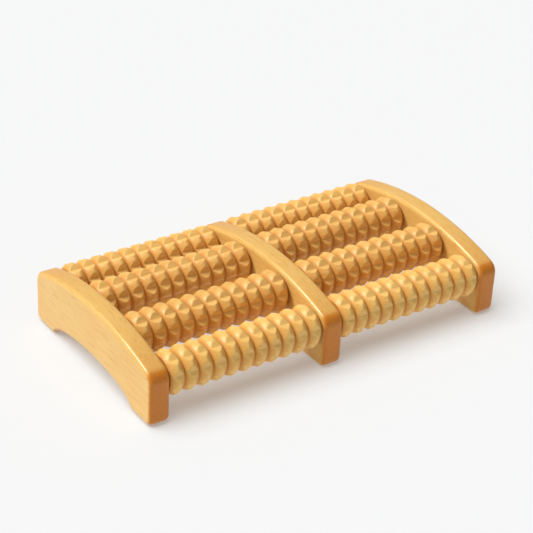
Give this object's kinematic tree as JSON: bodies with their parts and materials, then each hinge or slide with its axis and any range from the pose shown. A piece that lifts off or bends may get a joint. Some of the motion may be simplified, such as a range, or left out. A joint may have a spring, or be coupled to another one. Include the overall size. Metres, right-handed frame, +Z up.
{
  "type": "foot massage roller",
  "caption": "Arched wooden frame with two side-by-side banks of free-turning ringed and fluted wooden rollers that massage the soles of the feet.",
  "frame": {"origin": "on the floor under the middle of the object", "axes": "+X along the rollers, +Y from the front to the back, +Z up"},
  "size_m": [0.28, 0.153, 0.0504],
  "materials": {
    "board_wood": "satin clear-lacquered light hardwood, straight grain along the board",
    "outer_roller_wood": "satin clear-lacquered light hardwood, turned and fluted",
    "inner_roller_wood": "satin clear-lacquered hardwood, a shade browner, turned and fluted",
    "steel": "drawn bright steel rod",
    "nylon": "dark moulded nylon",
    "rubber": "dark matt rubber"
  },
  "bodies": {
    "frame": {"left_board": "board_wood", "centre_board": "board_wood", "right_board": "board_wood", "front_rod": "steel", "mid_front_rod": "steel", "mid_back_rod": "steel", "back_rod": "steel", "left_front_left_washer": "nylon", "left_front_right_washer": "nylon", "right_front_left_washer": "nylon", "right_front_right_washer": "nylon", "left_mid_front_left_washer": "nylon", "left_mid_front_right_washer": "nylon", "right_mid_front_left_washer": "nylon", "right_mid_front_right_washer": "nylon", "left_mid_back_left_washer": "nylon", "left_mid_back_right_washer": "nylon", "right_mid_back_left_washer": "nylon", "right_mid_back_right_washer": "nylon", "left_back_left_washer": "nylon", "left_back_right_washer": "nylon", "right_back_left_washer": "nylon", "right_back_right_washer": "nylon", "left_board_front_pad": "rubber", "left_board_back_pad": "rubber", "centre_board_front_pad": "rubber", "centre_board_back_pad": "rubber", "right_board_front_pad": "rubber", "right_board_back_pad": "rubber"},
    "left_front_roller_body": {"left_front_roller": "outer_roller_wood"},
    "left_mid_front_roller_body": {"left_mid_front_roller": "inner_roller_wood"},
    "left_mid_back_roller_body": {"left_mid_back_roller": "inner_roller_wood"},
    "left_back_roller_body": {"left_back_roller": "outer_roller_wood"},
    "right_front_roller_body": {"right_front_roller": "outer_roller_wood"},
    "right_mid_front_roller_body": {"right_mid_front_roller": "inner_roller_wood"},
    "right_mid_back_roller_body": {"right_mid_back_roller": "inner_roller_wood"},
    "right_back_roller_body": {"right_back_roller": "outer_roller_wood"}
  },
  "joints": [
    {"name": "left_front_spin", "type": "hinge", "parent": "frame", "child": "left_front_roller_body", "pos_m": [-0.06625, -0.0614, 0.02855], "axis": [1, 0, 0], "continuous": true},
    {"name": "left_mid_front_spin", "type": "hinge", "parent": "frame", "child": "left_mid_front_roller_body", "pos_m": [-0.06625, -0.02261, 0.0352], "axis": [1, 0, 0], "continuous": true},
    {"name": "left_mid_back_spin", "type": "hinge", "parent": "frame", "child": "left_mid_back_roller_body", "pos_m": [-0.06625, 0.02261, 0.0352], "axis": [1, 0, 0], "continuous": true},
    {"name": "left_back_spin", "type": "hinge", "parent": "frame", "child": "left_back_roller_body", "pos_m": [-0.06625, 0.0614, 0.02855], "axis": [1, 0, 0], "continuous": true},
    {"name": "right_front_spin", "type": "hinge", "parent": "frame", "child": "right_front_roller_body", "pos_m": [0.06625, -0.0614, 0.02855], "axis": [1, 0, 0], "continuous": true},
    {"name": "right_mid_front_spin", "type": "hinge", "parent": "frame", "child": "right_mid_front_roller_body", "pos_m": [0.06625, -0.02261, 0.0352], "axis": [1, 0, 0], "continuous": true},
    {"name": "right_mid_back_spin", "type": "hinge", "parent": "frame", "child": "right_mid_back_roller_body", "pos_m": [0.06625, 0.02261, 0.0352], "axis": [1, 0, 0], "continuous": true},
    {"name": "right_back_spin", "type": "hinge", "parent": "frame", "child": "right_back_roller_body", "pos_m": [0.06625, 0.0614, 0.02855], "axis": [1, 0, 0], "continuous": true}
  ]
}
